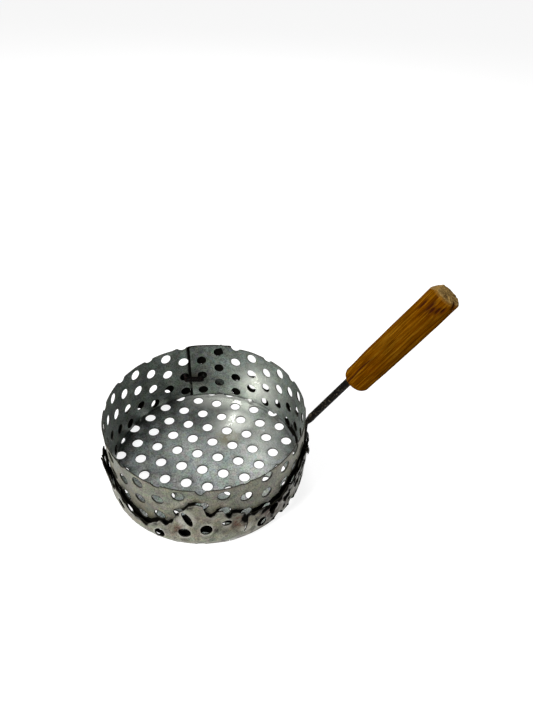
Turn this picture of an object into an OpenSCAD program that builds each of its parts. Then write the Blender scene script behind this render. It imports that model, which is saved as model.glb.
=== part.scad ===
// Hand sifter with a punched drum and a wooden grip.
// A strip of punched sheet is rolled into the side band, lapped at the back and tied
// with wire. It stands in a pan, a punched disc whose edge is turned up round it.
// A flattened steel rod is riveted outside the band and carries the wooden grip.
// The drum's axis is Z, the underside is z = 0 and the handle rises towards +X.

/* [Drum] */
// Inner diameter of the side band
drum_d = 164; // [130:1:200]
// Height of the side band
band_h = 62.5; // [50:0.5:80]
// Thickness of the galvanised sheet
sheet_t = 1; // [0.6:0.1:1.4]

/* [Perforation] */
// Diameter of every punched hole
hole_d = 9.5; // [5:0.5:12]
// Distance between neighbouring hole centres
hole_pitch = 19; // [15:0.5:23]
// Distance between the hole columns along the band
column_pitch = 16.7; // [13:0.1:21]
// Height of the lowest whole row of holes above the underside
row_z = 8.8; // [7:0.1:12]
// Angle from the handle to the nearest hole column of the band
column_az = 2; // [-3:0.5:3]
// Turn of the hole rows in the pan
grid_turn = -3; // [-30:1:30]
// Offset of the pan's middle hole towards the handle
grid_x = 8; // [0:0.5:9]
// Offset of the pan's middle hole to the side
grid_y = 1.9; // [0:0.1:9]

/* [Lap] */
// Length of the band that lies double at the back
lap_len = 39; // [25:1:55]
// Number of hole columns from the handle to the inner end of the band
lap_columns = 9; // [7:1:10]
// Distance from the last hole column to the inner end of the band
end_margin = 10.5; // [8:0.5:14]
// Gap between the two layers of the lap
lap_gap = 0.2; // [0.1:0.1:0.5]
// Distance from the inner end to the step of the outer layer
joggle_from = 10.8; // [9:0.2:14]
// Length of that step
joggle_len = 6.2; // [5:0.2:10]

/* [Pan] */
// Height of the turned-up skirt above the underside
skirt_h = 40; // [32:1:46]
// How far the skirt leans out at its top
skirt_flare = 3; // [2:0.2:5]
// Clearance between the lap and the skirt
pan_clear = 0.3; // [0.2:0.1:1]
// Chamfer at the pan's lower edge
pan_chamfer = 0.9; // [0.4:0.1:1.2]
// Width of the two slits in the skirt
slit_w = 0.8; // [0.4:0.1:1.5]
// Length of those slits
slit_len = 10; // [5:1:14]

/* [Handle rod] */
// Diameter of the steel rod
rod_d = 6; // [3.6:0.2:7.4]
// Width of the flattened tang
tang_w = 6.8; // [6:0.2:9]
// Thickness of the flattened tang
tang_t = 2; // [1.4:0.1:2.4]
// Gap between the band and the tang
tang_gap = 0.1; // [0.05:0.05:0.3]
// Clearance between the tang and the skirt
tang_clear = 0.3; // [0.2:0.1:1]
// Height at which the rod turns away from the drum, measured from the band's rim
bend_over_rim = 0; // [-4:0.5:6]
// Angle of the rod above the horizontal
handle_rise = 60; // [40:1:75]
// Radius of the bend at the middle of the metal
bend_r = 6; // [4:0.5:10]
// Length over which the flattened end becomes round
taper_len = 7; // [5:1:20]
// Distance from the bend to the grip
rod_free = 58; // [40:1:90]
// Length of the rod inside the grip
rod_in = 60; // [40:1:75]

/* [Grip] */
// Diameter of the wooden grip
grip_d = 21.2; // [18:0.2:28]
// Length of the wooden grip
grip_len = 97; // [85:1:130]
// Radius of the rounded front end
grip_round = 5.5; // [2:0.5:8]
// Chamfer of the sawn end
grip_chamfer = 1.4; // [0.5:0.1:3]
// Size of the whittled facet at the sawn end
grip_facet = 4.5; // [2:0.5:7]
// How far the grip's centre lies below the rod
grip_drop = 3; // [0:0.5:4]
// How far the grip's centre lies to the side of the rod
grip_side = 1; // [0:0.5:2]
// Radial clearance of the rod in its bore
bore_clear = 0.05; // [0.02:0.01:0.2]

/* [Rivets and tie] */
// Diameter of the rivet shanks
rivet_d = 4; // [3:0.2:4.4]
// Diameter of the rivet heads
head_d = 7.5; // [6:0.5:8]
// Height of the rivet heads
head_h = 1.2; // [1:0.1:2.2]
// Radial clearance round the rivet shanks
rivet_clear = 0.1; // [0.05:0.05:0.3]
// Diameter of the tie wire
wire_d = 1.6; // [1:0.1:1.8]
// Clearance between the wire and the sheet
wire_clear = 0.1; // [0.05:0.05:0.3]
// Distance from the inner end of the band to the outer leg of the tie
tie_out = 5.5; // [4:0.5:7]
// Length of the twisted tail of the tie
tail_len = 9; // [5:1:14]

/* [Hidden] */
$fn = 96;
eps = 0.02; // how far two stretches of one outline run into each other
overlap = 1; // how far two pieces of one solid run into each other
cut = 1; // how far a cutter runs past the metal

band_ri = drum_d / 2;
band_ro = band_ri + sheet_t;
band_rm = band_ri + sheet_t / 2;
band_top = sheet_t + band_h;
lap_step = sheet_t + lap_gap;

// angle about the drum's axis that a length along the band covers
function along_band(len) = len / band_rm * 180 / PI;
function column_at(i) = column_az + i * along_band(column_pitch);
function polar(r, a) = [r * cos(a), r * sin(a)];

inner_end = column_at(lap_columns) + along_band(end_margin);
outer_end = inner_end - along_band(lap_len);
joggle_a = inner_end + along_band(joggle_from);
joggle_b = joggle_a + along_band(joggle_len);
seam_angle = along_band(0.3); // how far the arcs and the step run into each other

// the step is an arc about a centre set off sideways, so it crosses both layers at a slope
joggle_mid = (joggle_a + joggle_b) / 2;
joggle_off = lap_step / 2 / sin((joggle_b - joggle_a) / 2);
joggle_r = norm([band_ri + lap_step / 2, joggle_off]);
joggle_turn = joggle_mid + atan2(joggle_off, band_ri + lap_step / 2);
joggle_half = (joggle_b - joggle_a) / 2 + seam_angle;
hole_half = along_band(hole_d / 2);
last_column = ceil((outer_end - 360 - column_az) / along_band(column_pitch));

pan_ri = band_ro + lap_step + pan_clear;
pan_ro = pan_ri + sheet_t;
skirt_lean = skirt_flare / (skirt_h - sheet_t);
function skirt_ri(z) = pan_ri + (z - sheet_t) * skirt_lean;
fold_reach = hole_d / 2 - 2 * pan_chamfer; // a hole this near the fold is cut on both sides of it
fold_graze = 0.6; // a hole whose edge comes this near the fold counts as grazing it
grid_n = ceil((pan_ro + skirt_h) / hole_pitch * 1.2);

tang_in = band_ro + tang_gap;
tang_out = tang_in + tang_t;
tang_mid = tang_in + tang_t / 2;
tang_corner = norm([tang_out, tang_w / 2]);
tang_low = sheet_t + (tang_corner + tang_clear - pan_ri) / skirt_lean;
bend_z = band_top + bend_over_rim;
bend_angle = 90 - handle_rise;
bend_back = bend_r * tan(bend_angle / 2);
bend_steps = 8;
taper_d0 = 1.05 * norm([tang_w, tang_t]);

lower_rivet_z = row_z + hole_pitch;
upper_rivet_z = row_z + 2 * hole_pitch;
head_seat = sqrt(band_ri * band_ri - head_d * head_d / 4);
dome_r = (head_d * head_d / 4 + head_h * head_h) / (2 * head_h);

tie_z = row_z + hole_pitch;
tie_a = column_at(lap_columns);
tie_b = inner_end + along_band(tie_out);
tie_ri = band_ri - wire_clear - wire_d / 2;
tie_ro = band_ro + lap_step + wire_clear + wire_d / 2;
leg_d = 1.15 * wire_d; // the wire is fuller where it bends through the sheet
tie_hole_d = leg_d + 4 * wire_clear;
wire_fn = 24;

// arc of sheet standing on the pan's floor, from angle a to angle b
module sheet_arc(ri, a, b) {
    rotate([0, 0, a])
        rotate_extrude(angle = b - a)
            translate([ri, sheet_t])
                square([sheet_t, band_h]);
}

// round hole through a wall at azimuth a and height z, from radius r0 to r1
module wall_hole(a, z, d, r0, r1) {
    rotate([0, 0, a])
        translate([r0, 0, z])
            rotate([0, 90, 0])
                cylinder(d = d, h = r1 - r0);
}

// one column of the band's holes; every second column is half a pitch lower
module band_column(i) {
    a = column_at(i);
    under = a + hole_half > outer_end;
    over = a + 360 - hole_half < inner_end;
    split = band_ro + lap_gap / 2;
    r0 = over ? split : band_ri - cut;
    r1 = under ? split : band_ro + lap_step + cut;
    low = i % 2 == 0 ? row_z - hole_pitch / 2 : row_z;
    for (z = [low : hole_pitch : band_top + hole_d / 2])
        wall_hole(a, z, hole_d, r0, r1);
}

module side_band() {
    outer_ri = band_ri + lap_step;
    color([0.52, 0.54, 0.50])
        difference() {
            union() {
                sheet_arc(band_ri, joggle_b - seam_angle, inner_end + 360);
                sheet_arc(outer_ri, outer_end, joggle_a + seam_angle);
                translate(polar(joggle_off, joggle_mid - 90))
                    sheet_arc(joggle_r, joggle_turn - joggle_half, joggle_turn + joggle_half);
            }
            for (i = [last_column : lap_columns])
                band_column(i);
            for (z = [lower_rivet_z, upper_rivet_z])
                wall_hole(0, z, rivet_d + 2 * rivet_clear, band_ri - cut, band_ro + cut);
            for (a = [tie_a, tie_b])
                wall_hole(a, tie_z, tie_hole_d, band_ri - cut, band_ro + lap_step + cut);
        }
}

// one hole of the disc's grid; past the fold it lands on the skirt at its distance from the fold,
// and one that would only graze the fold is set just inside it
module pan_hole(x, y) {
    r = norm([x, y]);
    a = atan2(y, x);
    grazes = abs(r + hole_d / 2 - pan_ri - sheet_t / 2) < sheet_t / 2 + fold_graze;
    floor_r = grazes ? pan_ri - fold_graze - hole_d / 2 : r;
    if (r < pan_ri + fold_reach)
        rotate([0, 0, a])
            translate([floor_r, 0, -cut])
                cylinder(d = hole_d, h = sheet_t + cut + eps);
    if (r > pan_ro - fold_reach && r < pan_ro + skirt_h + hole_d / 2)
        skirt_hole(a, r - pan_ro, hole_d);
}

module skirt_hole(a, z, d) {
    wall_hole(a, z, d, pan_ri - cut / 2, pan_ro + skirt_flare + cut);
}

module skirt_slit(a, z) {
    rotate([0, 0, a])
        translate([pan_ri - cut / 2, -slit_w / 2, z])
            cube([sheet_t + skirt_flare + 2 * cut, slit_w, slit_len]);
}

module base_pan() {
    color([0.60, 0.59, 0.52])
        difference() {
            rotate_extrude()
                polygon([
                    [0, 0],
                    [pan_ro - pan_chamfer, 0],
                    [pan_ro, pan_chamfer],
                    [pan_ro + skirt_flare, skirt_h],
                    [pan_ri + skirt_flare, skirt_h],
                    [pan_ri, sheet_t],
                    [0, sheet_t]
                ]);
            for (i = [-grid_n : grid_n], j = [-grid_n : grid_n]) {
                x = grid_x + hole_pitch * (i * cos(grid_turn) + j * cos(grid_turn - 60));
                y = grid_y + hole_pitch * (i * sin(grid_turn) + j * sin(grid_turn - 60));
                pan_hole(x, y);
            }
            skirt_slit(-66, -slit_len / 2);
            skirt_slit(-54, skirt_h - slit_len + eps);
            skirt_hole(0, lower_rivet_z, rivet_d + 2 * rivet_clear);
        }
}

// frame of the free rod: its origin is the bend and +Z runs along the rod
module on_rod() {
    translate([tang_mid, 0, bend_z])
        rotate([0, bend_angle, 0])
            children();
}

// one side of the flat tang and its bend, at distance s from the middle of the metal
function tang_side(s) = concat(
    [[tang_mid + s, tang_low]],
    [for (k = [0 : bend_steps])
        let (a = bend_angle * k / bend_steps)
        [tang_mid + bend_r - (bend_r - s) * cos(a), bend_z - bend_back + (bend_r - s) * sin(a)]]
);

// point at the end of the taper, at distance s from the rod's axis
function taper_end(s) = [tang_mid, bend_z]
    + (bend_back + taper_len + overlap) * [sin(bend_angle), cos(bend_angle)]
    + s * [cos(bend_angle), -sin(bend_angle)];

function reversed(v) = [for (i = [len(v) - 1 : -1 : 0]) v[i]];

// diameter of the cone that narrows the flat metal to the round rod
function taper_d(z) = taper_d0 + (rod_d - taper_d0) * z / taper_len;

module tang() {
    difference() {
        intersection() {
            rotate([90, 0, 0])
                linear_extrude(tang_w, center = true)
                    polygon(concat(
                        tang_side(tang_t / 2),
                        [taper_end(0.6 * rod_d), taper_end(-0.6 * rod_d)],
                        reversed(tang_side(-tang_t / 2))
                    ));
            on_rod() {
                translate([-band_top, -tang_w, -band_top])
                    cube([2 * band_top, 2 * tang_w, band_top + bend_back]);
                translate([0, 0, bend_back - overlap])
                    cylinder(
                        d1 = taper_d(-overlap),
                        d2 = taper_d(taper_len + overlap),
                        h = taper_len + 2 * overlap
                    );
            }
        }
        for (z = [lower_rivet_z, upper_rivet_z])
            wall_hole(0, z, rivet_d + 2 * rivet_clear, tang_in - cut, tang_out + cut);
    }
}

module handle_rod() {
    color([0.20, 0.18, 0.16]) {
        tang();
        on_rod()
            translate([0, 0, bend_back + taper_len - overlap])
                cylinder(d = rod_d, h = rod_free + rod_in - bend_back - taper_len + overlap);
    }
}

// half outline of the grip: rounded at the front, chamfered at the sawn end
module grip_outline() {
    r = grip_d / 2;
    square([r - grip_round, grip_round + eps]);
    translate([r - grip_round, grip_round])
        intersection() {
            circle(r = grip_round);
            translate([0, -grip_round])
                square([grip_round, grip_round + eps]);
        }
    translate([0, grip_round])
        square([r, grip_len - grip_round - grip_chamfer]);
    translate([0, grip_len - grip_chamfer - eps])
        polygon([
            [0, 0],
            [r, 0],
            [r - grip_chamfer, grip_chamfer + eps],
            [0, grip_chamfer + eps]
        ]);
}

module grip() {
    facet_az = 152;
    color([0.55, 0.36, 0.12])
        on_rod()
            difference() {
                translate([grip_drop, -grip_side, rod_free])
                    difference() {
                        rotate_extrude()
                            grip_outline();
                        rotate([0, 0, facet_az])
                            translate([grip_d / 2, 0, grip_len - grip_facet])
                                rotate([0, 45, 0])
                                    translate([-grip_d, -grip_d, 0])
                                        cube(2 * grip_d);
                    }
                translate([0, 0, rod_free - cut])
                    cylinder(d = rod_d + 2 * bore_clear, h = rod_in + 2 * cut);
            }
}

module rivet_head() {
    intersection() {
        translate([0, 0, head_h - dome_r])
            sphere(r = dome_r);
        cylinder(d = head_d, h = head_h);
    }
}

// rivet along X; its heads sit on the band's inside and at x = seat, and the shank runs into both
module rivet(z, seat) {
    color([0.45, 0.43, 0.40])
        translate([0, 0, z]) {
            translate([head_seat - head_h / 2, 0, 0])
                rotate([0, 90, 0])
                    cylinder(d = rivet_d, h = seat - head_seat + head_h);
            translate([head_seat, 0, 0])
                rotate([0, -90, 0])
                    rivet_head();
            translate([seat, 0, 0])
                rotate([0, 90, 0])
                    rivet_head();
        }
}

module upper_rivet() {
    rivet(upper_rivet_z, tang_out);
}

module lower_rivet() {
    rivet(lower_rivet_z, skirt_ri(lower_rivet_z + head_d / 2) + sheet_t);
}

module tie_arc(r, a, b) {
    translate([0, 0, tie_z])
        rotate([0, 0, a])
            rotate_extrude(angle = b - a)
                translate([r, 0])
                    circle(d = wire_d, $fn = wire_fn);
}

module tie_leg(a, r0, r1) {
    rotate([0, 0, a])
        translate([r0, 0, tie_z])
            rotate([0, 90, 0])
                cylinder(d = leg_d, h = r1 - r0, $fn = wire_fn);
}

module lap_tie() {
    color([0.16, 0.10, 0.08]) {
        tie_arc(tie_ri, tie_a, tie_b);
        tie_arc(tie_ro, tie_a, tie_b);
        for (a = [tie_a, tie_b])
            tie_leg(a, tie_ri - leg_d / 2, tie_ro + leg_d / 2);
        tail_a = (tie_a + tie_b) / 2;
        tie_arc(tie_ri - 1.5 * wire_d, tail_a, tail_a + along_band(tail_len));
        tie_leg(tail_a, tie_ri - 1.5 * wire_d - leg_d / 2, tie_ri);
    }
}

side_band();
base_pan();
handle_rod();
grip();
upper_rivet();
lower_rivet();
lap_tie();
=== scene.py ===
import bmesh
import bpy
import math
from mathutils import Matrix, Vector, kdtree, noise


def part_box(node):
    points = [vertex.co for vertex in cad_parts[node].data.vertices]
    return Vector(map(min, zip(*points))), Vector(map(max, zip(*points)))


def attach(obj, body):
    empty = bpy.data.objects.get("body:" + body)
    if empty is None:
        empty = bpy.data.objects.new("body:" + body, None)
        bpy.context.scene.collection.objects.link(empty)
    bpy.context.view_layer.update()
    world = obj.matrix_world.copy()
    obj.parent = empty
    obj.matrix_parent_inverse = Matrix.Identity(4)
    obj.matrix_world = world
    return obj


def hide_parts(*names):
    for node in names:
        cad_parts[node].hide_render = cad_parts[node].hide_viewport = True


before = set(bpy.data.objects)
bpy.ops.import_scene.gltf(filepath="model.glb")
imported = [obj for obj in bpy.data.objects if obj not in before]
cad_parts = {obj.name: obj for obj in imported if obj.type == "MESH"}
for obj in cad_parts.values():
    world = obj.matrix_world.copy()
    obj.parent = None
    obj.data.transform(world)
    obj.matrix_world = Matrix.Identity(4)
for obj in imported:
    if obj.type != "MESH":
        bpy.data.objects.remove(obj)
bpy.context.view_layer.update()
print("frame loaded:", ", ".join(sorted(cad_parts)))

mm = 0.001  # pieces are worked out in millimetres and stored in metres


def clamp(x, low=0.0, high=1.0):
    return max(low, min(high, x))


def smoothStep(a, b, x):
    t = clamp((x - a) / (b - a))
    return t * t * (3 - 2 * t)


def between(x, a, b, c, d):  # climbs from 0 to 1 over a..b, and falls back to 0 over c..d
    return smoothStep(a, b, x) * (1 - smoothStep(c, d, x))


def bell(x, centre, width):
    return math.exp(-(((x - centre) / width) ** 2))


def wrapped(angle):  # an angle in degrees brought into -180..180
    return (angle + 180) % 360 - 180


def alongTable(table, x):  # smooth value between (place, value) pairs
    for (x0, y0), (x1, y1) in zip(table, table[1:]):
        if x0 <= x <= x1:
            return y0 + (y1 - y0) * smoothStep(x0, x1, x)
    return table[0][1] if x < table[0][0] else table[-1][1]


def ring(azimuth, height, scale, seed):  # seamless noise round the drum
    a = math.radians(azimuth)
    return noise.noise(Vector((math.cos(a) * scale, math.sin(a) * scale, height + 31.7 * seed)))


def grain(p, scale, seed):
    return noise.noise(Vector(p) * scale + Vector((13.1 * seed, 7.7 * seed, 3.3 * seed)))


def newObject(name, mesh):
    piece = bpy.data.objects.new(name, mesh)
    bpy.context.scene.collection.objects.link(piece)
    return piece


def shadeByAngle(mesh, degrees):
    mesh.polygons.foreach_set("use_smooth", [True] * len(mesh.polygons))
    mesh.set_sharp_from_angle(angle=math.radians(degrees))


def polar(radius, azimuth, z):
    a = math.radians(azimuth)
    return Vector((radius * math.cos(a), radius * math.sin(a), z))


def spots(table, x, y):  # strengths of round spots, given as power, place and width in x, place and width in y
    return [power * bell(x, atX, wideX) * bell(y, atY, wideY) for power, atX, wideX, atY, wideY in table]


def paintMarks(mesh, names, marks):  # each vertex has one number for each name, read by the materials
    for name, values in zip(names, zip(*marks)):
        layer = mesh.attributes.new(name, "FLOAT", "POINT")
        layer.data.foreach_set("value", values)


def paintCutFaces(mesh, thickness):  # marks the cut walls and burrs, which get painted shade, while the sheet is still flat
    marks = []
    for face in mesh.polygons:
        onFace = abs(face.normal.z) > 0.9 and abs(abs(face.center.z) - thickness / 2) < 0.02
        marks.append(0.0 if onFace else 1.0)
    layer = mesh.attributes.new("cutFace", "FLOAT", "FACE")
    layer.data.foreach_set("value", marks)


def finishPiece(piece, slot, *nodes):
    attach(piece, "root")
    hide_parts(*nodes)


def addNode(tree, kind, inputs=None, **settings):
    node = tree.nodes.new(kind)
    for key, value in settings.items():
        setattr(node, key, value)
    for key, value in (inputs or {}).items():
        if isinstance(value, bpy.types.NodeSocket):
            tree.links.new(value, node.inputs[key])
        else:
            node.inputs[key].default_value = value
    return node


def mathNode(tree, operation, a, b=0.0):
    return addNode(tree, "ShaderNodeMath", {0: a, 1: b}, operation=operation).outputs[0]


def ramp(tree, factor, stops):
    node = addNode(tree, "ShaderNodeValToRGB", {"Fac": factor})
    elements = node.color_ramp.elements
    while len(elements) < len(stops):
        elements.new(0.5)
    for element, (place, value) in zip(elements, stops):
        element.position = place
        element.color = (*value, 1) if isinstance(value, tuple) else (value, value, value, 1)
    return node.outputs["Color"]


def mixColour(tree, factor, a, b, blend="MIX"):
    node = addNode(tree, "ShaderNodeMix", data_type="RGBA", blend_type=blend)
    for key, value in ((0, factor), (6, a), (7, b)):
        if isinstance(value, bpy.types.NodeSocket):
            tree.links.new(value, node.inputs[key])
        else:
            node.inputs[key].default_value = (*value, 1) if isinstance(value, tuple) else value
    return node.outputs[2]


def noiseNode(tree, vector, scale, detail=4.0, roughness=0.6, distortion=0.0):
    inputs = {"Vector": vector, "Scale": scale, "Detail": detail, "Roughness": roughness}
    inputs["Distortion"] = distortion
    return addNode(tree, "ShaderNodeTexNoise", inputs).outputs["Fac"]


def painted(tree, name):
    return addNode(tree, "ShaderNodeAttribute", attribute_name=name).outputs["Fac"]


def newMaterial(name, metallic, specular=0.5):
    material = bpy.data.materials.new(name)
    material.use_nodes = True
    tree = material.node_tree
    shader = tree.nodes["Principled BSDF"]
    shader.inputs["Metallic"].default_value = metallic
    shader.inputs["Specular IOR Level"].default_value = specular
    return material, tree, shader


def addBump(tree, shader, height, strength, distance):
    inputs = {"Height": height, "Strength": strength, "Distance": distance}
    bump = addNode(tree, "ShaderNodeBump", inputs)
    tree.links.new(bump.outputs["Normal"], shader.inputs["Normal"])


def darkened(tree, amount, colour, pattern, stops):  # the colour, darker where the pattern is low
    return mixColour(tree, amount, colour, ramp(tree, pattern, stops), "MULTIPLY")


sheetLook = {
    "metallic": 0.55, "specular": 0.5, "rough": (0.34, 0.6), "polish": 0.2,
    "broad": 38, "blotch": 150, "speck": 900, "spangle": 260,  # how fine each pattern is
    # the pale tone here is the colour of the painted highlights
    "sheenColour": (0.82, 0.83, 0.77), "stain": (0.12, 0.105, 0.06),
    "rust": [(0.35, (0.022, 0.008, 0.004)), (0.65, (0.11, 0.04, 0.015))],
    # the near-black here serves both for painted shade in gaps between parts and for grime patches
    "shadeAndGrime": (0.004, 0.0038, 0.003), "shadeAndGrimeFrom": 0.22, "shadeAndGrimeTo": 0.72, "patchy": 0.9,
    "cut": (0.012, 0.011, 0.008), "cutShade": 0.85,  # painted shade on the cut walls of the holes and their burrs
    "bump": 0.35, "bumpDepth": 0.0006,
}


def sheetMaterial(name, inside, outside, look):
    material, tree, shader = newMaterial(name, look["metallic"])
    place = addNode(tree, "ShaderNodeTexCoord").outputs["Object"]
    broad = noiseNode(tree, place, look["broad"], 3, 0.55, 0.4)
    blotch = noiseNode(tree, place, look["blotch"], 5, 0.65, 0.6)
    speck = noiseNode(tree, place, look["speck"], 3, 0.7)
    crystals = {"Vector": place, "Scale": look["spangle"]}
    spangle = addNode(tree, "ShaderNodeTexVoronoi", crystals).outputs["Color"]
    colour = mixColour(tree, painted(tree, "outside"), inside, outside)
    colour = darkened(tree, 0.8, colour, broad, [(0.32, 0.5), (0.66, 1.0)])
    colour = darkened(tree, 0.8, colour, blotch, [(0.36, 0.4), (0.6, 1.0)])
    colour = darkened(tree, 0.75, colour, speck, [(0.38, 0.16), (0.56, 1.0)])
    colour = mixColour(tree, 0.1, colour, spangle, "SOFT_LIGHT")
    # painted highlight: the colour turns pale where this mark is set, and the roughness drops there
    paintedSheen = painted(tree, "paintedSheen")
    colour = mixColour(tree, paintedSheen, colour, look["sheenColour"])
    stainPatches = ramp(tree, blotch, [(0.4, 0.3), (0.58, 1.0)])
    stain = mathNode(tree, "MULTIPLY", painted(tree, "stain"), stainPatches)
    colour = mixColour(tree, stain, colour, look["stain"])
    rustPatches = ramp(tree, blotch, [(0.38, 0.0), (0.52, 1.0)])
    rust = mathNode(tree, "MULTIPLY", painted(tree, "rust"), rustPatches)
    colour = mixColour(tree, rust, colour, ramp(tree, speck, look["rust"]))
    # painted shade and grime: the colour goes to near-black where this mask is high, which covers gaps,
    # overlaps and shaded sides as well as random grime patches
    uneven = mathNode(tree, "MULTIPLY", mathNode(tree, "SUBTRACT", blotch, 0.5), look["patchy"])
    soft = mathNode(tree, "ADD", painted(tree, "shadeAndGrime"), uneven)
    mask = {"Value": soft, "From Min": look["shadeAndGrimeFrom"], "From Max": look["shadeAndGrimeTo"]}
    shadeAndGrime = addNode(tree, "ShaderNodeMapRange", mask).outputs[0]
    colour = mixColour(tree, shadeAndGrime, colour, look["shadeAndGrime"])
    # painted shade: the cut walls of the holes and the burrs are darkened almost to black
    cutFace = mathNode(tree, "MULTIPLY", painted(tree, "cutFace"), look["cutShade"])
    colour = mixColour(tree, cutFace, colour, look["cut"])
    clean = mathNode(tree, "SUBTRACT", 1.0, mathNode(tree, "MAXIMUM", shadeAndGrime, cutFace))
    metallic = mathNode(tree, "MULTIPLY", clean, look["metallic"])
    specular = mathNode(tree, "MULTIPLY", clean, look["specular"])
    tree.links.new(metallic, shader.inputs["Metallic"])
    tree.links.new(specular, shader.inputs["Specular IOR Level"])
    tree.links.new(colour, shader.inputs["Base Color"])
    smooth, rough = look["rough"]
    wear = {"Value": blotch, "From Min": 0.3, "From Max": 0.7, "To Min": smooth, "To Max": rough}
    worn = addNode(tree, "ShaderNodeMapRange", wear).outputs[0]
    polish = mathNode(tree, "MULTIPLY", paintedSheen, look["polish"])
    tree.links.new(mathNode(tree, "SUBTRACT", worn, polish), shader.inputs["Roughness"])
    height = mathNode(tree, "ADD", blotch, mathNode(tree, "MULTIPLY", speck, 0.35))
    addBump(tree, shader, height, look["bump"], look["bumpDepth"])
    return material


rodLook = {
    "specular": 0.06, "patches": 320, "speck": 1500, "rough": (0.38, 0.62),
    # mill scale in random patches; the palest patches are also a painted highlight, since the steel has almost
    # no specular
    "scale": [(0.42, (0.001, 0.0009, 0.0006)), (0.56, (0.006, 0.0048, 0.003)), (0.68, (0.11, 0.09, 0.06))],
}


def rodMaterial(look):
    material, tree, shader = newMaterial("scaledSteel", 0.0, look["specular"])
    place = addNode(tree, "ShaderNodeTexCoord").outputs["Object"]
    patches = noiseNode(tree, place, look["patches"], 5, 0.7, 0.8)
    speck = noiseNode(tree, place, look["speck"], 3, 0.7)
    colour = ramp(tree, patches, look["scale"])
    colour = darkened(tree, 0.6, colour, speck, [(0.35, 0.35), (0.6, 1.0)])
    tree.links.new(colour, shader.inputs["Base Color"])
    smooth, rough = look["rough"]
    tree.links.new(ramp(tree, patches, [(0.3, smooth), (0.7, rough)]), shader.inputs["Roughness"])
    addBump(tree, shader, mathNode(tree, "ADD", patches, speck), 0.5, 0.0005)
    return material


wireLook = {
    "specular": 0.08, "patches": 520, "rough": 0.62,
    "rust": [(0.5, (0.0015, 0.001, 0.001)), (0.62, (0.006, 0.0025, 0.002)), (0.8, (0.03, 0.009, 0.007))],
}


def wireMaterial(look):
    material, tree, shader = newMaterial("rustyWire", 0.0, look["specular"])
    place = addNode(tree, "ShaderNodeTexCoord").outputs["Object"]
    patches = noiseNode(tree, place, look["patches"], 4, 0.7, 0.5)
    tree.links.new(ramp(tree, patches, look["rust"]), shader.inputs["Base Color"])
    shader.inputs["Roughness"].default_value = look["rough"]
    addBump(tree, shader, patches, 0.6, 0.0006)
    return material


woodLook = {
    "fibre": 2000, "streak": 760, "broad": 60, "drawnOut": 0.035,  # the grain runs along the grip
    "side": [(0.3, (0.07, 0.016, 0.0)), (0.5, (0.13, 0.042, 0.0001)), (0.7, (0.26, 0.115, 0.006))],
    "end": [(0.34, (0.085, 0.042, 0.01)), (0.66, (0.38, 0.25, 0.09))],
    "worn": (0.28, 0.15, 0.03), "dark": (0.03, 0.006, 0.002), "rough": 0.8,
}


def woodMaterial(turn, look):
    material, tree, shader = newMaterial("oiledWood", 0.0, 0.0)
    place = addNode(tree, "ShaderNodeTexCoord").outputs["Object"]
    mapping = addNode(tree, "ShaderNodeMapping", {"Vector": place}, vector_type="TEXTURE")
    mapping.inputs["Rotation"].default_value = (0, turn, 0)
    turned = mapping.outputs[0]
    scale = {"Vector": turned, "Scale": (1, 1, look["drawnOut"])}
    along = addNode(tree, "ShaderNodeMapping", scale).outputs[0]
    fibre = noiseNode(tree, along, look["fibre"], 5, 0.7, 0.2)
    streak = noiseNode(tree, along, look["streak"], 6, 0.66, 0.3)
    broad = noiseNode(tree, turned, look["broad"], 3, 0.5)
    colour = ramp(tree, streak, look["side"])
    colour = darkened(tree, 0.8, colour, fibre, [(0.38, 0.3), (0.56, 1.0)])
    colour = darkened(tree, 0.7, colour, broad, [(0.3, 0.62), (0.65, 1.0)])
    colour = mixColour(tree, painted(tree, "endGrain"), colour, ramp(tree, fibre, look["end"]))
    colour = mixColour(tree, painted(tree, "worn"), colour, look["worn"])
    colour = mixColour(tree, painted(tree, "dark"), colour, look["dark"])
    tree.links.new(colour, shader.inputs["Base Color"])
    shader.inputs["Roughness"].default_value = look["rough"]
    addBump(tree, shader, mathNode(tree, "ADD", fibre, streak), 0.45, 0.0005)
    return material


def newTree(name, inputs, output):  # a geometry node tree and the outlets of its named inputs
    tree = bpy.data.node_groups.new(name, "GeometryNodeTree")
    for kind, labels in inputs:
        for label in labels:
            tree.interface.new_socket(label, in_out="INPUT", socket_type="NodeSocket" + kind)
    tree.interface.new_socket(output, in_out="OUTPUT", socket_type="NodeSocketGeometry")
    return tree, tree.nodes.new("NodeGroupInput").outputs


def endTree(tree, geometry, material):
    real = addNode(tree, "GeometryNodeRealizeInstances", {0: geometry}).outputs[0]
    made = addNode(tree, "GeometryNodeSetMaterial", {"Geometry": real, "Material": material})
    tree.links.new(made.outputs[0], tree.nodes.new("NodeGroupOutput").inputs[0])


def namedAttribute(tree, name, kind):
    node = addNode(tree, "GeometryNodeInputNamedAttribute", {"Name": name}, data_type=kind)
    return node.outputs[0]


def combined(tree, **parts):
    return addNode(tree, "ShaderNodeCombineXYZ", parts).outputs[0]


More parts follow.
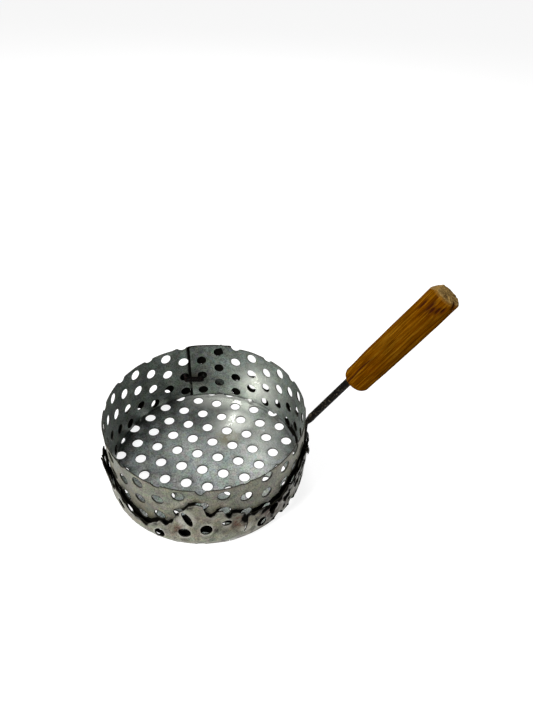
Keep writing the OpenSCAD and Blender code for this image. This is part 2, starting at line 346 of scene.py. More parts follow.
def punchTree():  # the sheets are punched flat by this tree, and formed afterwards
    sizes = ("Hole diameter", "Punch depth", "Out of round", "Burr size", "Burr level")
    inputs = (
        ("Geometry", ["Hole centres"]), ("Object", ["Blank"]), ("Float", sizes),
        ("Int", ["Seed"]), ("Material", ["Material"]),
    )
    tree, given = newTree("punchHoles", inputs, "Sheet")
    blank = addNode(tree, "GeometryNodeObjectInfo", {"Object": given["Blank"]})
    uneven = addNode(tree, "FunctionNodeRandomValue", data_type="FLOAT_VECTOR")
    tree.links.new(mathNode(tree, "SUBTRACT", 1.0, given["Out of round"]), uneven.inputs[0])
    tree.links.new(mathNode(tree, "ADD", 1.0, given["Out of round"]), uneven.inputs[1])
    tree.links.new(given["Seed"], uneven.inputs["Seed"])
    shares = {0: namedAttribute(tree, "stretch", "FLOAT_VECTOR"), 1: uneven.outputs[0]}
    size = addNode(tree, "ShaderNodeVectorMath", shares, operation="MULTIPLY")
    scaled = addNode(tree, "ShaderNodeVectorMath", {0: size.outputs[0]}, operation="SCALE")
    tree.links.new(given["Hole diameter"], scaled.inputs["Scale"])
    split = addNode(tree, "ShaderNodeSeparateXYZ", {0: scaled.outputs[0]}).outputs
    punchScale = combined(tree, X=split["X"], Y=split["Y"], Z=given["Punch depth"])
    burrScale = combined(tree, X=split["X"], Y=split["Y"], Z=given["Hole diameter"])
    spin = combined(tree, Z=namedAttribute(tree, "turn", "FLOAT"))
    where = {"Points": given["Hole centres"], "Rotation": spin}
    punch = addNode(tree, "GeometryNodeMeshCylinder", {"Vertices": 28, "Radius": 0.5, "Depth": 1.0})
    punching = {**where, "Instance": punch.outputs[0], "Scale": punchScale}
    punches = addNode(tree, "GeometryNodeInstanceOnPoints", punching)
    cutSheet = addNode(tree, "GeometryNodeMeshBoolean", operation="DIFFERENCE", solver="MANIFOLD")
    tree.links.new(blank.outputs["Geometry"], cutSheet.inputs["Mesh 1"])
    tree.links.new(punches.outputs[0], cutSheet.inputs["Mesh 2"])
    reach = mathNode(tree, "ADD", mathNode(tree, "MULTIPLY", given["Burr size"], 0.6), 0.5)
    path = addNode(tree, "GeometryNodeCurvePrimitiveCircle", {"Resolution": 18, "Radius": reach})
    section = {"Resolution": 4, "Radius": given["Burr size"]}
    edge = addNode(tree, "GeometryNodeCurvePrimitiveCircle", section)
    curves = {"Curve": path.outputs[0], "Profile Curve": edge.outputs[0]}
    lip = addNode(tree, "GeometryNodeCurveToMesh", curves)
    burring = {**where, "Instance": lip.outputs[0], "Scale": burrScale}
    burring["Selection"] = namedAttribute(tree, "burred", "BOOLEAN")
    burrs = addNode(tree, "GeometryNodeInstanceOnPoints", burring)
    lifting = {"Geometry": burrs.outputs[0], "Translation": combined(tree, Z=given["Burr level"])}
    lifted = addNode(tree, "GeometryNodeTransform", lifting)
    joined = addNode(tree, "GeometryNodeJoinGeometry")
    tree.links.new(lifted.outputs[0], joined.inputs[0])
    tree.links.new(cutSheet.outputs[0], joined.inputs[0])
    endTree(tree, joined.outputs[0], given["Material"])
    return tree


def runTree(piece, tree, values, name):  # evaluates the tree and gives back its result as a plain mesh
    modifier = piece.modifiers.new("build", "NODES")
    modifier.node_group = tree
    for item in tree.interface.items_tree:
        if item.in_out == "INPUT" and item.name in values:
            modifier[item.identifier] = values[item.name]
    bpy.context.view_layer.update()
    shown = piece.evaluated_get(bpy.context.evaluated_depsgraph_get())
    mesh = bpy.data.meshes.new_from_object(shown)
    mesh.name = name
    bpy.data.objects.remove(piece)
    return mesh


def punchSheet(name, blank, holes, tree, settings, material):
    points = bpy.data.meshes.new(name + "Centres")
    points.from_pydata([(h[0], h[1], 0) for h in holes], [], [])
    stretch = points.attributes.new("stretch", "FLOAT_VECTOR", "POINT")
    stretch.data.foreach_set("vector", [c for h in holes for c in (h[2], h[3], 1.0)])
    turn = points.attributes.new("turn", "FLOAT", "POINT")
    turn.data.foreach_set("value", [h[4] for h in holes])
    burred = points.attributes.new("burred", "BOOLEAN", "POINT")
    burred.data.foreach_set("value", [h[5] for h in holes])
    blankObject = newObject(name + "Blank", blank)
    values = {
        "Blank": blankObject, "Hole diameter": settings["hole"], "Punch depth": 8.0,
        "Out of round": settings["outOfRound"], "Burr size": settings["burr"],
        "Burr level": settings["burrLevel"], "Seed": settings["seed"], "Material": material,
    }
    mesh = runTree(newObject(name + "Centres", points), tree, values, name)
    bpy.data.objects.remove(blankObject)
    return mesh


def slab(name, rows, thickness, closed):  # a sheet with both faces and its edges, from rows of flat points
    count = len(rows[0])
    verts = []
    for side in (-0.5, 0.5):
        for row in rows:
            verts += [(x, y, side * thickness) for x, y in row]
    under = len(rows) * count
    faces = []
    steps = count if closed else count - 1
    for j in range(len(rows) - 1):
        for i in range(steps):
            a, b = j * count + i, j * count + (i + 1) % count
            c, d = b + count, a + count
            faces += [(a, d, c, b), (a + under, b + under, c + under, d + under)]
    last = (len(rows) - 1) * count
    for i in range(steps):
        a, b = i, (i + 1) % count
        if not closed:
            faces.append((a, b, b + under, a + under))
        faces.append((last + b, last + a, last + a + under, last + b + under))
    if closed:
        centre = len(verts)
        verts += [(0, 0, -0.5 * thickness), (0, 0, 0.5 * thickness)]
        for i in range(count):
            a, b = i, (i + 1) % count
            faces += [(centre, b, a), (centre + 1, a + under, b + under)]
    else:
        for j in range(len(rows) - 1):
            a, d = j * count, (j + 1) * count
            faces.append((a, a + under, d + under, d))
            b, c = a + count - 1, d + count - 1
            faces.append((b, c, c + under, b + under))
    mesh = bpy.data.meshes.new(name)
    mesh.from_pydata(verts, [], faces)
    work = bmesh.new()
    work.from_mesh(mesh)
    bmesh.ops.recalc_face_normals(work, faces=work.faces)
    work.to_mesh(mesh)
    work.free()
    return mesh


def holeFinder(holes):
    tree = kdtree.KDTree(len(holes))
    for index, hole in enumerate(holes):
        tree.insert((hole[0], hole[1], 0), index)
    tree.balance()
    return tree


def dish(finder, holes, x, y, hole):  # how much the punch rolled the sheet over, fading 1.6 mm from a hole
    _, index, distance = finder.find((x, y, 0))
    edge = distance - hole / 2 * max(holes[index][2], holes[index][3])
    return 1 - smoothStep(-0.2, 1.6, edge)


def makeSheet(name, rows, closed, holes, tree, settings, material, pointAt, marksAt):
    blank = slab(name + "Blank", rows, settings["sheet"], closed)
    mesh = punchSheet(name, blank, holes, tree, settings, material)
    paintCutFaces(mesh, settings["sheet"])
    finder = holeFinder(holes)
    marks = []
    for vertex in mesh.vertices:
        x, y, depth = vertex.co
        near = dish(finder, holes, x, y, settings["hole"])
        vertex.co = pointAt(x, y, depth - settings["roll"] * near) * mm
        level = clamp(depth / settings["sheet"] + 0.5)  # 0 on the under face of the blank, 1 on the upper
        marks.append(marksAt(x, y, level, near, vertex.co.z / mm))
    paintMarks(mesh, ("outside", "shadeAndGrime", "rust", "stain", "paintedSheen"), marks)
    shadeByAngle(mesh, 38)
    return newObject(name, mesh)


bandLow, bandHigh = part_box("side_band")
band = {  # millimetres, and degrees round the drum
    "outer": -bandLow.x / mm,  # outer radius of the single layer
    "sheet": 1.0,
    "foot": bandLow.z / mm, "top": bandHigh.z / mm,
    "outerEnd": 86.6, "innerEnd": 473.7,  # azimuths of the two ends, counted on round the drum
    "stepFrom": 121.2, "stepTo": 125.5, "layerStep": 1.2,
    "columns": (-23, 9), "column": 11.6, "firstColumn": 2.0, "pitch": 19.0, "row": 8.8,
    "hole": 9.5, "outOfRound": 0.03, "burr": 0.026, "burrLevel": 0.45, "roll": 0.22, "seed": 4,
    "cell": 1.35,
    "warp": 0.45, "rimWarp": 0.5, "rimWave": 0.5, "lapRise": 0.7,
    "tab": (453.0, 0.9, 1.9), "notch": (-79.4, 1.7, 2.4),  # azimuth, half width and height on the rim
    "innerSpring": 1.1, "outerSpring": 0.7,  # how far the two ends stand off at the rim
    "rise": [(-62, 0), (-46, 2.8), (-33, 8), (-21, 4), (-8, 0)],  # azimuth and how far the hole rows climb
    "inside": (0.37, 0.425, 0.375), "outside": (0.3, 0.3, 0.225),
}
band["middle"] = band["outer"] - band["sheet"] / 2


def rimHeight(azimuth):  # how far the rim stands above or below its mean height
    a = wrapped(azimuth)
    tabAt, tabWide, tabHigh = band["tab"]
    notchAt, notchWide, notchDeep = band["notch"]
    wave = band["rimWave"] * (ring(a, 0, 1.6, 1) + 0.6 * ring(a, 0, 5, 2))
    tab = tabHigh * bell(azimuth, tabAt, tabWide)
    lap = band["lapRise"] * between(a, 84, 88, 113, 116)
    notch = notchDeep * bell(a, notchAt, notchWide)
    return wave + tab + lap - notch


def bandHoles():
    first, last = band["columns"]
    holes = []
    for i in range(first, last + 1):
        azimuth = band["firstColumn"] + i * band["column"]
        if azimuth < band["outerEnd"] - 360:
            continue
        low = band["row"] - (band["pitch"] / 2 if i % 2 == 0 else 0)
        for k in range(4):
            height = low + k * band["pitch"]
            if height > band["top"] and i in (first, last):
                continue
            lean = 0.5 * ring(azimuth, height / 20, 3, 3) + alongTable(band["rise"], wrapped(azimuth))
            length = math.radians(azimuth + 360 - band["outerEnd"] + lean / 3) * band["middle"]
            whole = band["foot"] + band["hole"] / 2 < height < band["top"] - band["hole"] / 2 - 1
            holes.append((length, height - band["foot"] + lean, 1.0, 1.0, 0.0, whole))
    return holes


def bandPoint(length, height, depth):
    azimuth = band["outerEnd"] + math.degrees(length / band["middle"])
    a = wrapped(azimuth)
    z = band["foot"] + height
    radius = band["middle"]
    radius += band["layerStep"] * (1 - smoothStep(band["stepFrom"], band["stepTo"], azimuth))
    radius += band["warp"] * smoothStep(6, 26, z) * (ring(a, z / 45, 1.5, 5) + 0.5 * ring(a, z / 18, 4, 6))
    radius += band["rimWarp"] * smoothStep(48, 63, z) * ring(a, 1, 7, 7)
    radius -= band["innerSpring"] * smoothStep(467, band["innerEnd"], azimuth) * smoothStep(34, 60, z)
    radius += band["outerSpring"] * (1 - smoothStep(band["outerEnd"], 92, azimuth)) * smoothStep(20, 60, z)
    return polar(radius + depth, azimuth, z + rimHeight(azimuth) * smoothStep(30, 62, z))


def bandMarks(length, height, out, near, formedZ):  # dirt, wear, painted shade and painted sheen at a place on the flat blank
    azimuthOn = band["outerEnd"] + math.degrees(length / band["middle"])
    azimuth = wrapped(azimuthOn)
    z = height + band["foot"]
    within = 1 - out
    edge = 1 - smoothStep(0.2, 2.2, band["top"] - z)
    # painted shade: the outer layer's inner face under the lap is darkened, for the shade between the two
    # layers
    shadeUnderLap = within * (1 - smoothStep(114.5, 117, azimuthOn)) * (1 - 0.35 * bell(z, 18, 12))
    # painted shadow: a dark line beside the inner end of the strip, stronger towards the rim
    crack = within * bell(azimuthOn, 114.6, 1.1) * (0.5 + 0.5 * smoothStep(40, 54, z))
    fold = tornEdge(azimuth) + 1.2 + between(azimuth, -45, -25, 10, 25)  # the pan's skirt hides what is below
    # painted shadow: the band's outside below the skirt's torn edge is darkened almost to black, for the shade
    # in the gap behind the skirt
    shadowBehindSkirt = 0.97 * out * (1 - smoothStep(fold - 0.5, fold + 0.8, z))
    shade = within * bell(azimuth, 26, 20) * (0.5 + 0.4 * (1 - smoothStep(6, 16, z)))
    # darker round the holes on the outside, and towards the foot on the inside
    lowAndHoleDarkening = 0.3 * near * out + 0.6 * (1 - smoothStep(1, 6, z)) * within
    shadeAndGrime = clamp(max(shadowBehindSkirt, shadeUnderLap, crack, lowAndHoleDarkening, shade))
    rust = 0.5 * bell(azimuth, 112, 9) * bell(z, 26, 10) + 0.2 * edge
    stain = 0.5 * out * smoothStep(-0.05, 0.3, ring(azimuth, z / 25, 4, 8))
    # painted sheen on the inside of the back right wall
    paintedSheen = 0.6 * within * bell(azimuth, 65, 15) * bell(z, 24, 22)
    return out, shadeAndGrime, rust, stain, paintedSheen


def makeBand(tree, material):
    total = math.radians(band["innerEnd"] - band["outerEnd"]) * band["middle"]
    high = band["top"] - band["foot"]
    columns = int(total / band["cell"]) + 1
    lines = int(high / band["cell"]) + 1
    rows = []
    for j in range(lines):
        rows.append([(total * i / (columns - 1), high * j / (lines - 1)) for i in range(columns)])
    holes = bandHoles()
    piece = makeSheet("sideBand", rows, False, holes, tree, band, material, bandPoint, bandMarks)
    finishPiece(piece, "band_sheet", "side_band")
    print("side band:", len(piece.data.polygons), "faces,", len(holes), "holes")


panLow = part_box("base_pan")[0]
pan = {  # a punched disc whose torn edge is folded up round the band
    "foldRadius": -panLow.x / mm - 3.5,  # middle of the sheet at the foot of the skirt
    "bend": 1.4, "sheet": 1.0, "lift": 0.15, "crown": 0.35, "crease": 0.35,
    "pitch": 19.0, "turn": -3.0, "middle": (8.0, 1.9), "lattice": 9,
    "hole": 9.5, "outOfRound": 0.035, "burr": 0.032, "burrLevel": 0.4, "roll": 0.25, "seed": 9,
    "around": 440, "floorRings": 54, "foldRings": 5, "skirtRings": 26,
    "torn": [  # azimuth and height of the torn edge, measured from -114 to -40 and guessed elsewhere
        (-180, 24), (-168, 27), (-158, 30), (-149, 40), (-140, 31), (-131, 28), (-123, 22), (-114, 18),
        (-109.5, 18), (-103, 24), (-101.7, 27.5), (-98.2, 24.7), (-95, 29), (-91.6, 42), (-88.5, 46),
        (-85, 52.5), (-82, 55), (-78.8, 53), (-77.8, 46), (-76.8, 40.5), (-74.9, 38), (-72.8, 40.5),
        (-71.5, 44.7), (-68.7, 44.5), (-67.2, 38), (-65.2, 33), (-63.8, 38.7), (-57.4, 35.5), (-56.5, 26.5),
        (-55.4, 32.7), (-49.5, 28.8), (-45.4, 29.3), (-41, 26.6), (-36, 27), (-30, 33), (-22, 36), (-14, 40),
        (-6, 42), (4, 39), (14, 33), (26, 29), (38, 26), (50, 23), (60, 27), (68, 31), (76, 30), (84, 33),
        (95, 36), (106, 35), (116, 32), (124, 27), (134, 22), (146, 19), (160, 21), (172, 22), (180, 24),
    ],
    "flare": [  # azimuth and how far the skirt leans out at its edge
        (-180, 2.0), (-166, 3.6), (-150, 3.2), (-136, 2.4), (-120, 1.8), (-104, 1.2), (-94, 0.3),
        (-86, 0.0), (-77, 0.0), (-70, 0.3), (-60, 0.4), (-48, 1.2), (-34, 2.4), (-22, 1.8), (-12, 1.4),
        (-5, 2.1), (0, 2.3), (5, 2.1), (12, 1.4), (60, 2.4), (88, 3.0), (120, 3.0), (150, 1.8), (180, 2.0),
    ],
    "bulge": [  # azimuth and how far the skirt's foot swells
        (-132, 0.3), (-116, 2.2), (-100, 2.9), (-84, 3.1), (-70, 2.7), (-58, 1.9), (-44, 0.8), (-30, 0),
    ],
    "reworked": [  # torn and closed-up holes: azimuth, height, long and short side, tilt from upright
        (-86.8, 33.5, 1.7, 0.62, 148), (-67.0, 26.8, 0.55, 0.8, 0), (-57.3, 16.5, 1.0, 0.12, 22),
        (-101.5, 12.5, 1.0, 0.9, 0), (-48.0, 12.4, 1.05, 0.95, 150),
    ],
    "slit": (-65.8, 1, 1.0, 0.09, 0.0),  # a short cut up from the fold, given as the holes above are
    "soot": [(0.95, -57.6, 1.7, 27, 5), (0.4, -71, 2.5, 21, 5), (0.3, -78, 14, 4, 4)],
    "rust": [(2.2, -60.5, 3.2, 25, 5), (1.1, -92, 3, 22, 5), (1.1, -40, 10, 20, 12)],
    # painted highlight spots on the floor: power, place and width in x, place and width in y
    "highlightSpots": [(1.0, 12, 15, 48, 15), (1.0, 0, 34, 75, 13), (0.22, 50, 20, 35, 36)],
    "inside": (0.285, 0.315, 0.295), "outside": (0.34, 0.335, 0.25),
}
pan["start"] = pan["foldRadius"] - pan["bend"]  # the fold runs from this radius of the flat disc
pan["foldEnd"] = pan["start"] + pan["bend"] * math.pi / 2
pan["flatToHeight"] = pan["foldEnd"] - pan["bend"] - pan["sheet"] / 2


def tornEdge(azimuth):
    a = wrapped(azimuth)
    ragged = 0.9 * ring(a, 0, 9, 11) + 0.8 * ring(a, 0, 22, 12) + 0.7 * ring(a, 0, 45, 13)
    drop = 1.6 * max(0.0, 2.0 - alongTable(pan["flare"], a)) if -112 < a < -40 else 0.0
    return alongTable(pan["torn"], a) - drop + ragged


def panHoles():
    middleX, middleY = pan["middle"]
    turn = math.radians(pan["turn"])
    count = pan["lattice"]
    holes = []
    for i in range(-count, count + 1):
        for j in range(-count, count + 1):
            x = middleX + pan["pitch"] * (i * math.cos(turn) + j * math.cos(turn - math.pi / 3))
            y = middleY + pan["pitch"] * (i * math.sin(turn) + j * math.sin(turn - math.pi / 3))
            height = math.hypot(x, y) - pan["foldRadius"] - 0.5
            if height < 1.5:  # on the floor, or cut by the fold
                holes.append((x, y, 1.0, 1.0, 0.0, height < -9))
            elif height < 55:
                azimuth = math.degrees(math.atan2(y, x))
                front = between(azimuth, -97, -90, -46, -38)
                if front * height > 0 and height < 4:
                    continue
                height += 7.5 * front
                visible = between(azimuth, -118, -112, -40, -34)
                if height > tornEdge(azimuth) - 3 and visible > 0.5:
                    continue
                apart = min(abs(azimuth - w[0]) * 1.5 + abs(height - w[1]) for w in pan["reworked"])
                if apart > 12:
                    holes.append(skirtHole(azimuth, height, 1.0, 1.0, 0.0))
    holes += [skirtHole(*worked) for worked in pan["reworked"]]
    holes.append(skirtHole(*pan["slit"]))
    return holes


def skirtHole(azimuth, height, tall, wide, tilt):  # placed on the flat disc, where the skirt isn't yet folded
    a = math.radians(azimuth)
    tilted = math.radians(tilt)
    flat = height + pan["flatToHeight"]
    gathered = flat / pan["foldRadius"] - 1  # folding up draws the edge of the disc in
    spread = 1 + gathered * (0.5 - 0.5 * math.cos(2 * tilted))
    gather = 1 + gathered * (0.5 + 0.5 * math.cos(2 * tilted))
    whole = pan["hole"] / 2 + 2 < height < tornEdge(azimuth) - pan["hole"] / 2 - 1.5 and wide > 0.2
    return (flat * math.cos(a), flat * math.sin(a), tall * spread, wide * gather, a + tilted, whole)


def panPoint(x, y, depth):
    flat = math.hypot(x, y)
    a = math.atan2(y, x)
    azimuth = math.degrees(a)
    level = pan["sheet"] / 2 + pan["lift"]
    if flat <= pan["start"]:
        crown = pan["crown"] * (1 + grain((x, y, 0), 0.022, 1)) * (1 - smoothStep(60, 84, flat))
        return Vector((x, y, level + depth + crown))
    folded = min((flat - pan["start"]) / pan["bend"], math.pi / 2)
    up = max(0.0, flat - pan["foldEnd"])
    radius = pan["start"] + pan["bend"] * math.sin(folded) - depth * math.sin(folded)
    z = level + pan["bend"] * (1 - math.cos(folded)) + up + depth * math.cos(folded)
    share = clamp(up / 40)
    lean = alongTable(pan["flare"], azimuth) * share ** 1.15
    lean += share * (0.7 * ring(azimuth, z / 14, 9, 14) + 0.5 * ring(azimuth, z / 7, 20, 15))
    bulge = alongTable(pan["bulge"], azimuth) * between(up, -1, 7, 8, 31)
    crease = pan["crease"] * smoothStep(0, 10, up) * abs(ring(azimuth, z / 60, 14, 16))
    radius += lean + bulge - crease
    return Vector((radius * math.cos(a), radius * math.sin(a), z - lean * lean / max(2 * up, 8.0)))


def panMarks(x, y, level, near, z):  # dirt, wear, painted shade and painted highlights at a place on the flat disc
    flat = math.hypot(x, y)
    azimuth = math.degrees(math.atan2(y, x))
    out = 1 - level
    onSkirt = smoothStep(pan["start"], pan["foldEnd"], flat)
    skirtOut = out * onSkirt
    floorTop = (1 - onSkirt) * level
    torn = tornEdge(azimuth)
    edge = 1 - smoothStep(0.3, 2.5, torn + pan["flatToHeight"] - flat)
    corner = level * bell(flat, pan["start"] - 5, 1.6)  # darker where the floor meets the band
    # painted shade: the skirt's outside is darker on its right, away from the key light
    side = 0.4 * between(azimuth, -60, -44, 0, 20)
    patchy = 0.34 * smoothStep(0.0, 0.3, ring(azimuth, z / 6, 16, 18))
    left = smoothStep(-104, -122, azimuth) if azimuth < 0 else 0.0
    ragged = (0.35 + 0.6 * left) * (1 - smoothStep(0.8, 4.5, torn - z))
    soot = sum(spots(pan["soot"], azimuth, z))
    # painted shade: the skirt's inner face, facing the band, is darkened almost to black, for the gap between
    # skirt and band
    shadeAndGrime = clamp(0.5 * corner + 0.93 * onSkirt * level + skirtOut * (side + patchy + ragged + soot))
    flash = 0.35 * bell(azimuth, -82, 5) * bell(z, 33, 6) + 0.25 * edge
    rust = onSkirt * clamp(sum(spots(pan["rust"], azimuth, z)) + flash)
    brown = 0.45 * onSkirt * smoothStep(0.0, 0.3, ring(azimuth, z / 16, 5, 17))
    floured = floorTop * bell(x, 13, 12) * bell(y, 26, 9)
    # painted highlights on the floor, and on the skirt's outside along the torn edge and round the holes
    highlightSpots = 0.9 * floorTop * max(spots(pan["highlightSpots"], x, y))
    return out, shadeAndGrime, rust, clamp(brown + floured), highlightSpots + skirtOut * (0.2 * edge + 0.22 * near)


def makePan(tree, material):
    start, foldEnd = pan["start"], pan["foldEnd"]
    floorRings, foldRings, skirtRings = pan["floorRings"], pan["foldRings"], pan["skirtRings"]
    angles = [2 * math.pi * k / pan["around"] for k in range(pan["around"])]
    edges = [pan["flatToHeight"] + tornEdge(math.degrees(a)) for a in angles]
    radii = [start * (k / floorRings) for k in range(3, floorRings + 1)]
    radii += [start + (foldEnd - start) * k / foldRings for k in range(1, foldRings + 1)]
    rows = [[(r * math.cos(a), r * math.sin(a)) for a in angles] for r in radii]
    for k in range(1, skirtRings + 1):
        reach = [foldEnd + (edge - foldEnd) * k / skirtRings for edge in edges]
        rows.append([(r * math.cos(a), r * math.sin(a)) for r, a in zip(reach, angles)])
    holes = panHoles()
    piece = makeSheet("basePan", rows, True, holes, tree, pan, material, panPoint, panMarks)
    finishPiece(piece, "pan_sheet", "base_pan")
    print("pan:", len(piece.data.polygons), "faces,", len(holes), "holes")


handle = {  # the grip, in millimetres along the rod from its bend at the rim
    "bendRadius": 84.1, "rise": math.radians(60),
    "length": 97.0, "radius": 10.6, "front": 58.0,
    "round": 5.5, "endRound": 1.4, "swell": 0.25, "neck": 0.2,
    "drop": 3.0, "side": 1.0,  # how far the grip's axis lies off the rod's
    "around": 120, "lines": 190,
    "facet": 152, "crack": 222, "notch": 300,  # degrees round the grip
    "gouges": ((205, 84, 4), (232, 87, 4.5), (246, 86, 3), (262, 88, 3), (276, 90, 2.5)),
}
bendPoint = Vector((handle["bendRadius"], 0, bandHigh.z / mm))
rodTurn = math.pi / 2 - handle["rise"]


def onRod(x, y, z):  # a place on the handle, z along the rod from the bend
    return bendPoint + Matrix.Rotation(rodTurn, 3, "Y") @ Vector((x, y, z))


def gripProfile(t):  # radius of the turned grip at the share t of its length
    z = t * handle["length"]
    front, endRound = handle["round"], handle["endRound"]
    back = handle["length"] - z
    swell = handle["swell"] * math.sin(math.pi * t) - handle["neck"] * bell(t, 0.12, 0.1)
    radius = handle["radius"] + swell
    if z < front:
        return radius - front + math.sqrt(max(0.0, front ** 2 - (front - z) ** 2))
    if back < endRound:
        return radius - endRound + back
    return radius


def gripPoint(a, t):  # a point on the grip's side, with its marks: end grain, dark and worn
    z = t * handle["length"]
    radius = gripProfile(t)
    p = (math.cos(a) * 10, math.sin(a) * 10, z)
    radius += 0.22 * grain(p, 0.05, 21) + 0.1 * grain((p[0], p[1], z * 0.1), 0.6, 22)
    crackAt = math.radians(handle["crack"]) + 0.03 * math.sin(z * 0.25)
    crack = bell(a, crackAt, 0.05) * (1 - smoothStep(26, 34, z))
    gouges = 0.0
    for where, along, tall in handle["gouges"]:
        gouges += 1.4 * bell(a, math.radians(where), 0.09) * bell(z, along, tall)
    notch = bell(a, math.radians(handle["notch"]), 0.16) * smoothStep(91, 96, z)
    radius -= 0.5 * crack + 0.8 * clamp(gouges) + 1.8 * notch
    x, y = radius * math.cos(a), radius * math.sin(a)
    facet = math.radians(handle["facet"])
    limit = handle["radius"] - 4.5 + (handle["length"] - z)
    cutAway = max(0.0, x * math.cos(facet) + y * math.sin(facet) - limit)
    x -= cutAway * math.cos(facet)
    y -= cutAway * math.sin(facet)
    chip = 0.5 * grain((x, y, z), 0.5, 23) * smoothStep(93, 97, z)
    point = (x + handle["drop"], y - handle["side"], z + handle["front"] + chip)
    endGrain = clamp(smoothStep(96.2, 96.8, z) + (0.8 if cutAway > 0.05 else 0))
    dark = clamp(1.3 * crack + gouges + 1.1 * notch)
    return point, (endGrain, dark, 0.35 * between(z, 94.5, 96, 96.2, 96.8))


def closeEnd(verts, faces, marks, rim, back):  # three rings and a middle face close one end of the grip
    count = handle["around"]
    middleX, middleY = handle["drop"], -handle["side"]
    outer = rim
    for share in (0.75, 0.5, 0.25):
        first = len(verts)
        for i in range(count):
            x, y, h = verts[rim + i]
            x = middleX + (x - middleX) * share
            y = middleY + (y - middleY) * share
            rough = 0.35 * grain((x, y, 0), 0.35, 24)
            dark = 0.6 * smoothStep(0.12, 0.35, grain((x, y, 0), 0.3, 25))
            verts.append((x, y, h + rough if back else h))
            marks.append((1.0, dark, 0.0) if back else (0.0, 0.0, 0.0))
        for i in range(count):
            a, b = outer + i, outer + (i + 1) % count
            c, d = first + (i + 1) % count, first + i
            faces.append((a, b, c, d) if back else (b, a, d, c))
        outer = first
    loop = range(outer, outer + count)
    faces.append(tuple(loop) if back else tuple(reversed(loop)))


def makeGrip(material):
    count, lines = handle["around"], handle["lines"]
    verts, faces, marks = [], [], []
    for k in range(lines + 1):
        t = 0.5 * (1 - math.cos(math.pi * k / lines)) * 0.35 + 0.65 * k / lines  # closer lines at the ends
        for i in range(count):
            point, mark = gripPoint(2 * math.pi * i / count, t)
            verts.append(point)
            marks.append(mark)
    for k in range(lines):
        for i in range(count):
            a, b = k * count + i, k * count + (i + 1) % count
            faces.append((a, b, b + count, a + count))
    closeEnd(verts, faces, marks, 0, False)
    closeEnd(verts, faces, marks, lines * count, True)
    mesh = bpy.data.meshes.new("woodGrip")
    mesh.from_pydata([onRod(*v) * mm for v in verts], [], faces)
    paintMarks(mesh, ("endGrain", "dark", "worn"), marks)
    mesh.materials.append(material)
    shadeByAngle(mesh, 40)
    piece = newObject("woodGrip", mesh)
    finishPiece(piece, "grip_wood", "grip")
    print("grip:", len(mesh.polygons), "faces")


def dressNode(name, material):  # a CAD node whose shape is right keeps its mesh
    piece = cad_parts[name]
    piece.data.materials.clear()
    piece.data.materials.append(material)


tie = {  # soft wire through two holes of the lap, and its twisted tail
    "wire": 3.0, "strands": 3, "step": 0.7, "apart": 0.8,
    "from": 106.4, "to": 118.0, "low": 24.6, "high": 27.0,  # azimuths and heights of the two holes
    "inner": 80.9, "outer": 85.3,
    "tailStart": 1.0, "tailLength": 9.5, "tailRise": 3.0, "tailTwist": 3.4,
}


def wireTree():
    inputs = (("Geometry", ["Path"]), ("Float", ["Wire diameter", "Step"]), ("Material", ["Material"]))
    tree, given = newTree("wireAlongPath", inputs, "Wire")
    curve = addNode(tree, "GeometryNodeMeshToCurve", {"Mesh": given["Path"]})
    spacing = {"Curve": curve.outputs[0], "Length": given["Step"]}
    even = addNode(tree, "GeometryNodeResampleCurve", spacing, mode="LENGTH")
    section = {"Resolution": 10, "Radius": mathNode(tree, "MULTIPLY", given["Wire diameter"], 0.5)}
    profile = addNode(tree, "GeometryNodeCurvePrimitiveCircle", section)
    curves = {"Curve": even.outputs[0], "Profile Curve": profile.outputs[0], "Fill Caps": True}
    tube = addNode(tree, "GeometryNodeCurveToMesh", curves)
    smooth = addNode(tree, "GeometryNodeSetShadeSmooth", {"Geometry": tube.outputs[0]})
    endTree(tree, smooth.outputs[0], given["Material"])
    return tree


def tiePath(strand):  # one strand out through one hole, back through the other, then twisted
    across = tie["to"] - tie["from"]
    climb = tie["high"] - tie["low"]
    shift = (strand - 1) * tie["wire"] * tie["apart"]
    points = []
    for k in range(13):
        share = k / 12
        bow = math.sin(math.pi * share)
        level = tie["low"] + climb * share + shift
        points.append(polar(tie["outer"] + 0.3 * bow, tie["from"] + across * share, level))
    for k in range(13):
        share = k / 12
        bow = math.sin(math.pi * share)
        level = tie["high"] - climb * share + shift * (1 - 0.6 * bow)
        points.append(polar(tie["inner"] - 0.9 * bow - 0.3 * strand, tie["to"] - across * share, level))
    for k in range(1, 25):
        share = k / 24
        twist = tie["tailTwist"] * math.pi * share + 2.1 * strand
        azimuth = tie["from"] + tie["tailStart"] + tie["tailLength"] * share
        level = tie["low"] + 0.6 + 1.1 * math.sin(twist) + tie["tailRise"] * share
        points.append(polar(tie["inner"] - 2.4 + math.cos(twist), azimuth, level))
    return points


def makeTie(material):
    tree = wireTree()
    merged = bmesh.new()
    for strand in range(tie["strands"]):
        points = [p * mm for p in tiePath(strand)]
        path = bpy.data.meshes.new("tiePath")
        path.from_pydata(points, [(k, k + 1) for k in range(len(points) - 1)], [])
        values = {"Wire diameter": tie["wire"] * mm, "Step": tie["step"] * mm, "Material": material}
        merged.from_mesh(runTree(newObject("tiePath", path), tree, values, "tieStrand"))
    mesh = bpy.data.meshes.new("tieWire")
    merged.to_mesh(mesh)
    merged.free()
    mesh.materials.append(material)
    shadeByAngle(mesh, 60)
    piece = newObject("tieWire", mesh)
    finishPiece(piece, "tie_wire", "lap_tie")
    print("tie:", len(mesh.polygons), "faces")


studio = {
    "half": 6.0, "drop": 0.0002, "tone": 0.3, "glow": 0.85, "world": 0.22,  # the table and the surroundings
    "lamps": (  # name, place, height aimed at, size and power
        ("keyLight", (-0.74, -0.82, 1.12), 0.03, 0.4, 29.0),
        ("backLight", (-0.14, 1.05, 1.15), 0.0, 0.6, 11.0),
    ),
}


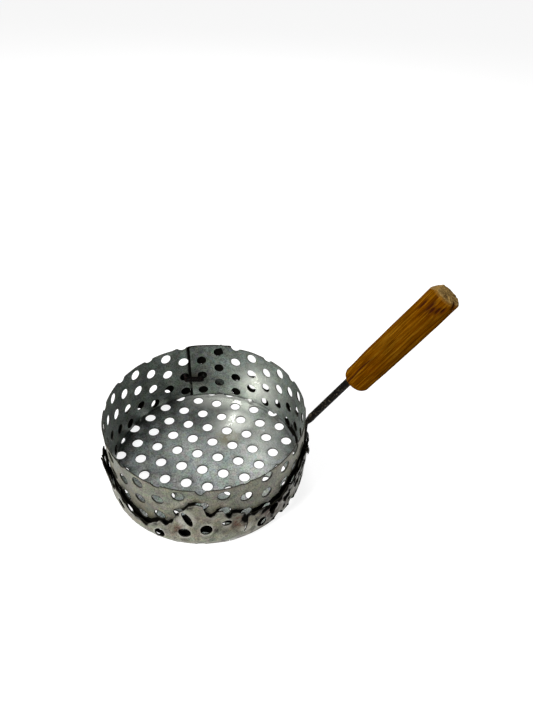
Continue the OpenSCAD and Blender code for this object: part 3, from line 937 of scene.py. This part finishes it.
def makeStage():
    mesh = bpy.data.meshes.new("table")
    half, tone = studio["half"], studio["tone"]
    corners = [(-half, -half, 0), (half, -half, 0), (half, half, 0), (-half, half, 0)]
    mesh.from_pydata(corners, [], [(0, 1, 2, 3)])
    material, tree, shader = newMaterial("paleTable", 0.0, 0.0)
    shader.inputs["Base Color"].default_value = (tone, tone, tone, 1)
    shader.inputs["Roughness"].default_value = 1.0
    shader.inputs["Emission Color"].default_value = (1, 1, 1, 1)
    shader.inputs["Emission Strength"].default_value = studio["glow"]
    mesh.materials.append(material)
    table = newObject("table", mesh)
    table.location.z = -studio["drop"]
    world = bpy.data.worlds.new("studio")
    bpy.context.scene.world = world
    world.use_nodes = True
    background = world.node_tree.nodes["Background"].inputs
    background["Color"].default_value = (1, 1, 1, 1)
    background["Strength"].default_value = studio["world"]
    bpy.context.scene.view_settings.view_transform = "Standard"


def makeLight(name, place, aim, size, power):
    light = bpy.data.lights.new(name, "AREA")
    light.shape = "DISK"
    light.size = size
    light.energy = power
    lamp = newObject(name, light)
    lamp.location = place
    lamp.rotation_euler = (Vector((0, 0, aim)) - Vector(place)).to_track_quat("-Z", "Y").to_euler()


view = {
    "place": (85.80, -302.47, 379.7),  # millimetres
    "rise": math.radians(39.6), "turn": math.radians(6.9), "roll": math.radians(2.1),
    "lens": 27.04, "sensor": 36.0,
}


def makeCamera():
    rise, roll = view["rise"], view["roll"]
    right = Vector((1, 0, 0))
    ahead = Vector((0, math.cos(rise), -math.sin(rise)))
    up = right.cross(ahead)
    rolledRight = math.cos(roll) * right + math.sin(roll) * up
    rolledUp = -math.sin(roll) * right + math.cos(roll) * up
    axes = Matrix((rolledRight, rolledUp, -ahead)).transposed()
    data = bpy.data.cameras.new("camera")
    data.sensor_fit = "VERTICAL"
    data.sensor_height = view["sensor"]
    data.lens = view["lens"]
    data.clip_start = 0.01
    camera = newObject("camera", data)
    turned = Matrix.Rotation(view["turn"], 3, "Z") @ axes
    camera.matrix_world = Matrix.Translation(Vector(view["place"]) * mm) @ turned.to_4x4()
    bpy.context.scene.camera = camera


makeStage()
makeCamera()
for lamp in studio["lamps"]:
    makeLight(*lamp)
print("stage ready")

holeTree = punchTree()
bandSheet = sheetMaterial("bandSheet", band["inside"], band["outside"], sheetLook)
panSheet = sheetMaterial("panSheet", pan["inside"], pan["outside"], sheetLook)
makeBand(holeTree, bandSheet)
makePan(holeTree, panSheet)
makeGrip(woodMaterial(rodTurn, woodLook))
makeTie(wireMaterial(wireLook))
rodSteel = rodMaterial(rodLook)
for nodeName in ("handle_rod", "upper_rivet", "lower_rivet"):
    dressNode(nodeName, rodSteel)
print("pieces ready")
